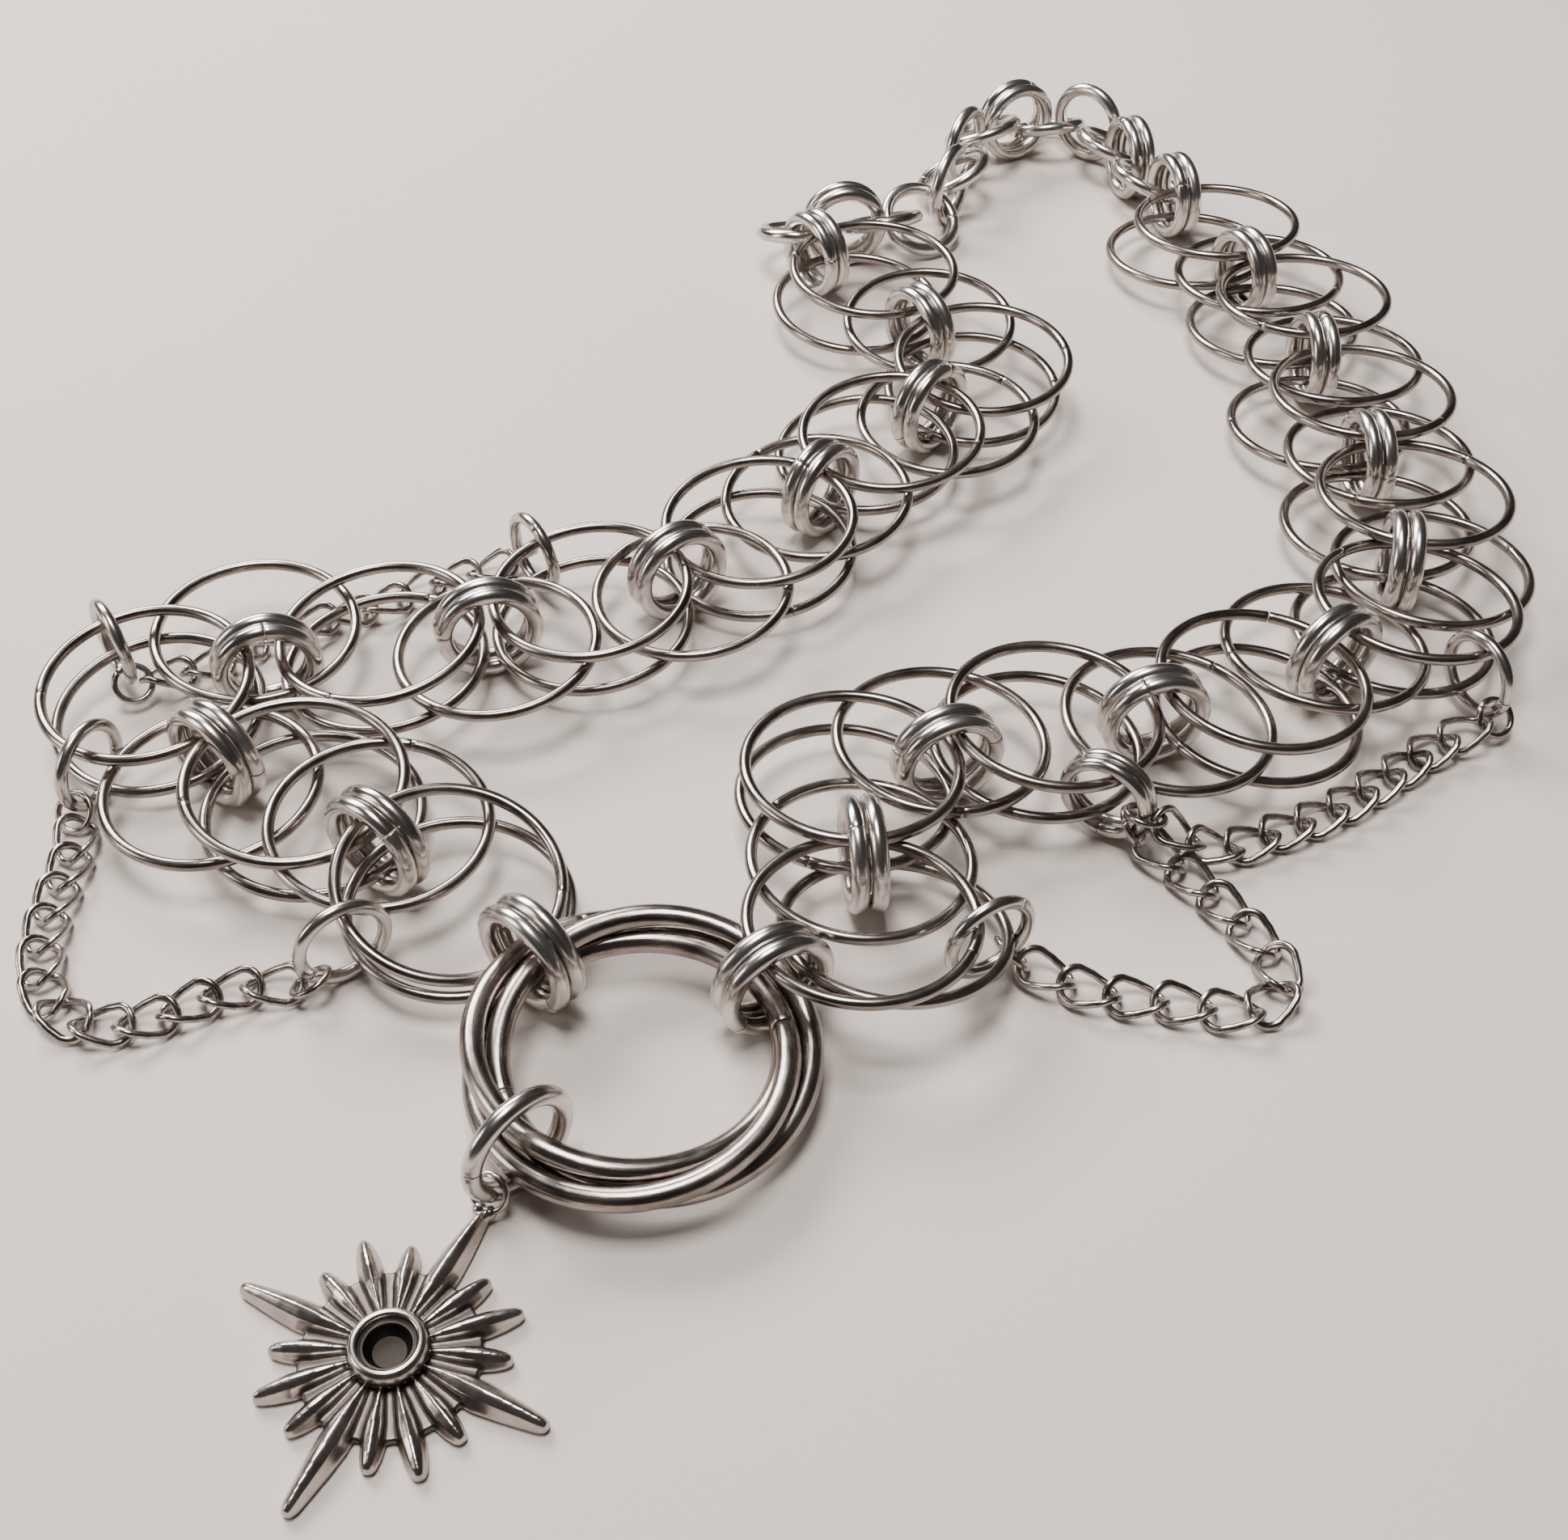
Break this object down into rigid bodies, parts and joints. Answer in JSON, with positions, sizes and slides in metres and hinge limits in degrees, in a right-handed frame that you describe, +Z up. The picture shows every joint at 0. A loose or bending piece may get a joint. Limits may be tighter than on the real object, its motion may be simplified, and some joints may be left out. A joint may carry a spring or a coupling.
{
  "type": "chainmail choker",
  "caption": "Chainmail choker of paired large steel rings joined by double small rings, with interlaced thick centre rings, a star pendant, fine chain swags and a hooked ring clasp.",
  "frame": {"origin": "middle of the footprint, on the surface that the choker lies on", "axes": "+Z up from the surface, -Y towards the centre rings and the star, +Y towards the hooked closing chain"},
  "size_m": [0.1432, 0.1958, 0.0104],
  "materials": {
    "large_ring_steel": "drawn bright steel wire with fine lengthwise lines",
    "small_ring_steel": "bright tumbled steel wire",
    "centre_ring_steel": "drawn thick steel wire with long streaks",
    "fine_chain_steel": "polished thin steel wire",
    "swag_ring_steel": "bright steel wire",
    "star_metal": "cast antiqued metal, dark in the hollows"
  },
  "bodies": {
    "root": {"left_pair_1": "large_ring_steel", "left_pair_2": "large_ring_steel", "left_pair_3": "large_ring_steel", "left_pair_4": "large_ring_steel", "left_pair_5": "large_ring_steel", "left_pair_6": "large_ring_steel", "left_pair_7": "large_ring_steel", "left_pair_8": "large_ring_steel", "left_pair_9": "large_ring_steel", "right_pair_1": "large_ring_steel", "right_pair_2": "large_ring_steel", "right_pair_3": "large_ring_steel", "right_pair_4": "large_ring_steel", "right_pair_5": "large_ring_steel", "right_pair_6": "large_ring_steel", "right_pair_7": "large_ring_steel", "right_pair_8": "large_ring_steel", "right_pair_9": "large_ring_steel", "left_loose_rings": "large_ring_steel", "right_loose_rings": "large_ring_steel", "left_link_0": "small_ring_steel", "left_link_1": "small_ring_steel", "left_link_2": "small_ring_steel", "left_link_3": "small_ring_steel", "left_link_4": "small_ring_steel", "left_link_5": "small_ring_steel", "left_link_6": "small_ring_steel", "left_link_7": "small_ring_steel", "left_link_8": "small_ring_steel", "left_link_9": "small_ring_steel", "right_link_0": "small_ring_steel", "right_link_1": "small_ring_steel", "right_link_2": "small_ring_steel", "right_link_3": "small_ring_steel", "right_link_4": "small_ring_steel", "right_link_5": "small_ring_steel", "right_link_6": "small_ring_steel", "right_link_7": "small_ring_steel", "right_link_8": "small_ring_steel", "right_link_9": "small_ring_steel", "left_end_chain": "small_ring_steel", "right_end_chain": "small_ring_steel", "clasp_hook": "small_ring_steel", "pendant_ring": "small_ring_steel", "centre_ring_1": "centre_ring_steel", "centre_ring_2": "centre_ring_steel", "centre_ring_3": "centre_ring_steel", "swag_chain_1": "fine_chain_steel", "swag_chain_2": "fine_chain_steel", "swag_chain_3": "fine_chain_steel", "swag_chain_4": "fine_chain_steel", "left_swag_rings": "swag_ring_steel", "right_swag_rings": "swag_ring_steel", "star_pendant": "star_metal"}
  },
  "joints": []
}
